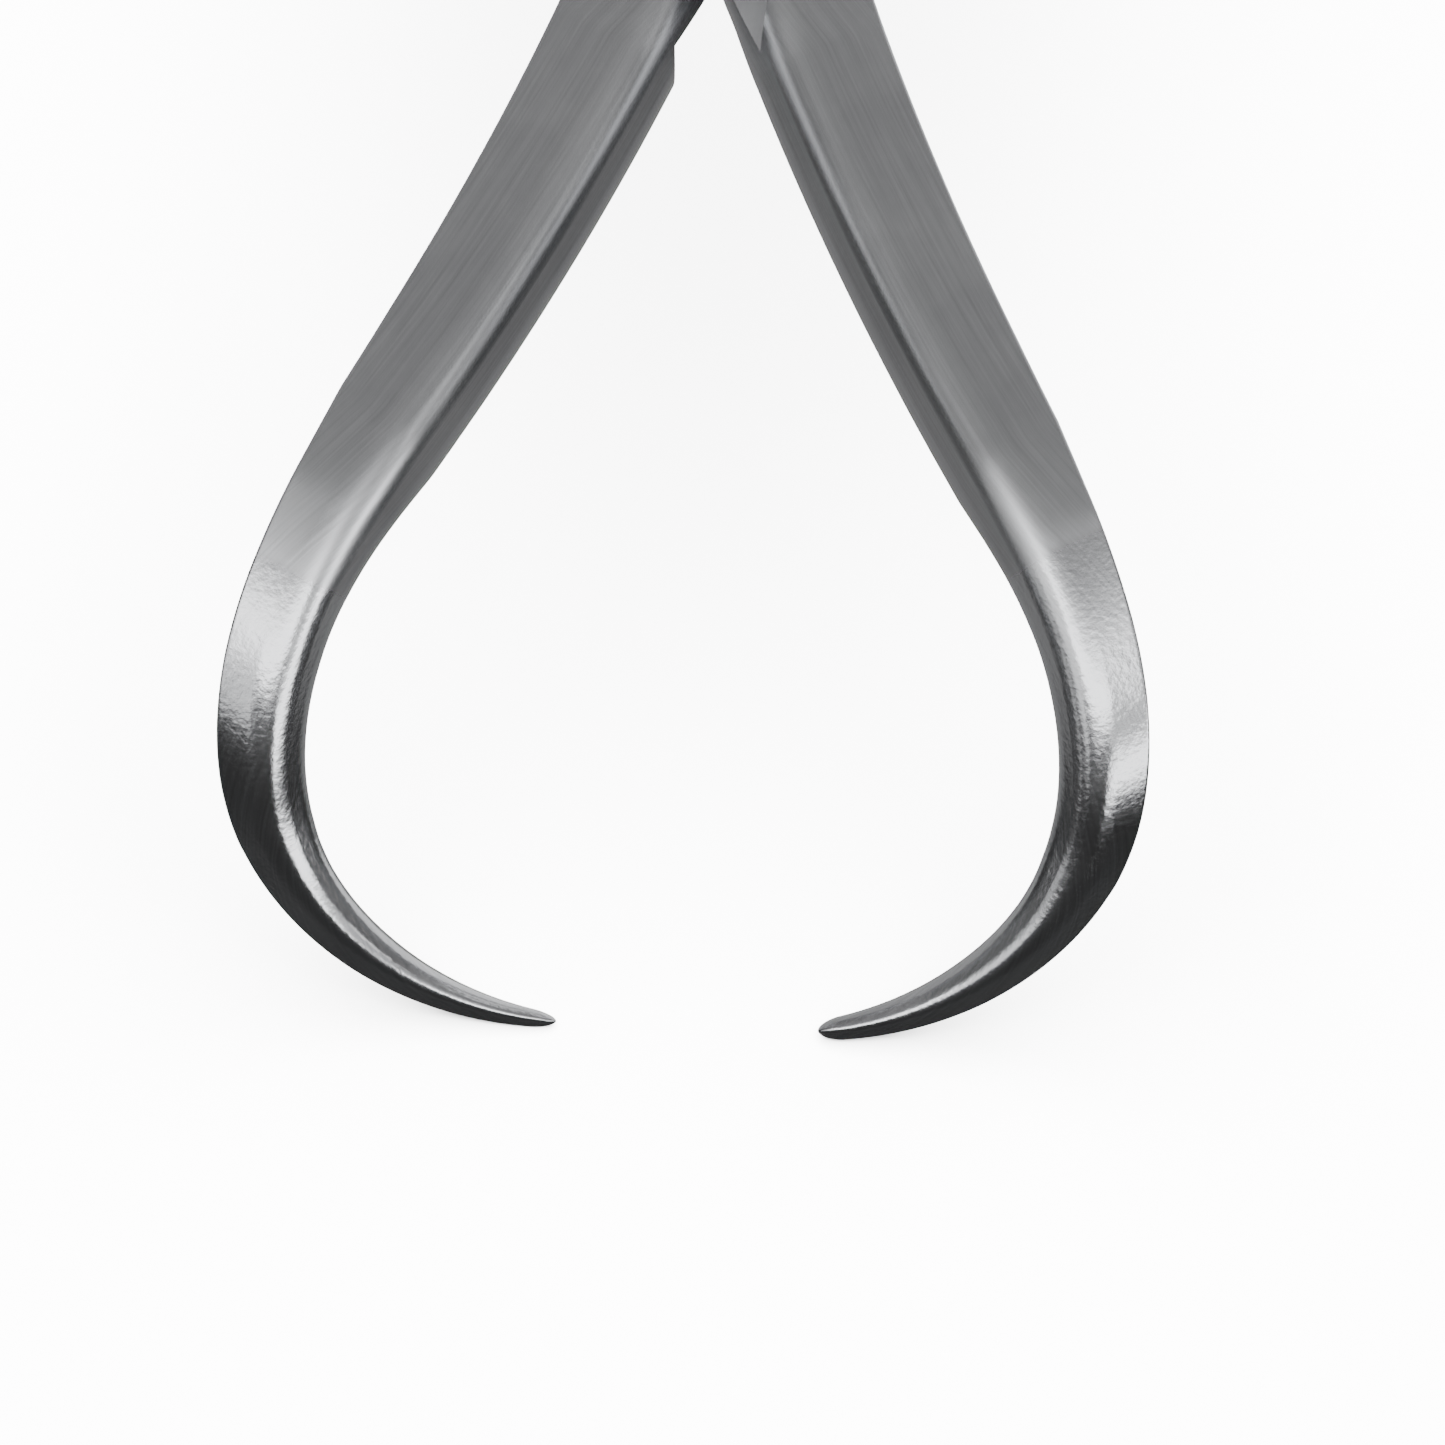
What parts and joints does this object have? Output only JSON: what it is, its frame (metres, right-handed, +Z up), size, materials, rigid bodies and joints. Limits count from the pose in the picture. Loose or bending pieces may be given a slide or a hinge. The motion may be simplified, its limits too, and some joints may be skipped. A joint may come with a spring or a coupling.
{
  "type": "extraction forceps",
  "caption": "Lower molar extraction forceps with pointed horn-shaped beaks, crossed halves on a screw joint and long bowed handles with grooved grips.",
  "frame": {"origin": "centre of the bounding box's base, on the surface the forceps stands on", "axes": "+Z up along the joint screw's axis, +Y from the beaks towards the handle ends, +X to the right when looking along +Y"},
  "size_m": [0.0586, 0.1726, 0.0248],
  "materials": {
    "forged_steel": "satin brushed stainless steel, polished on the horns",
    "screw_steel": "turned stainless steel"
  },
  "bodies": {
    "lower_jaw": {"lower_half": "forged_steel", "joint_screw": "screw_steel"},
    "upper_jaw": {"upper_half": "forged_steel"}
  },
  "joints": [
    {"name": "screw_joint", "type": "hinge", "parent": "lower_jaw", "child": "upper_jaw", "pos_m": [0, -0.0494, 0.02146], "axis": [0, 0, 1], "range_deg": [-25, 8.5]}
  ]
}
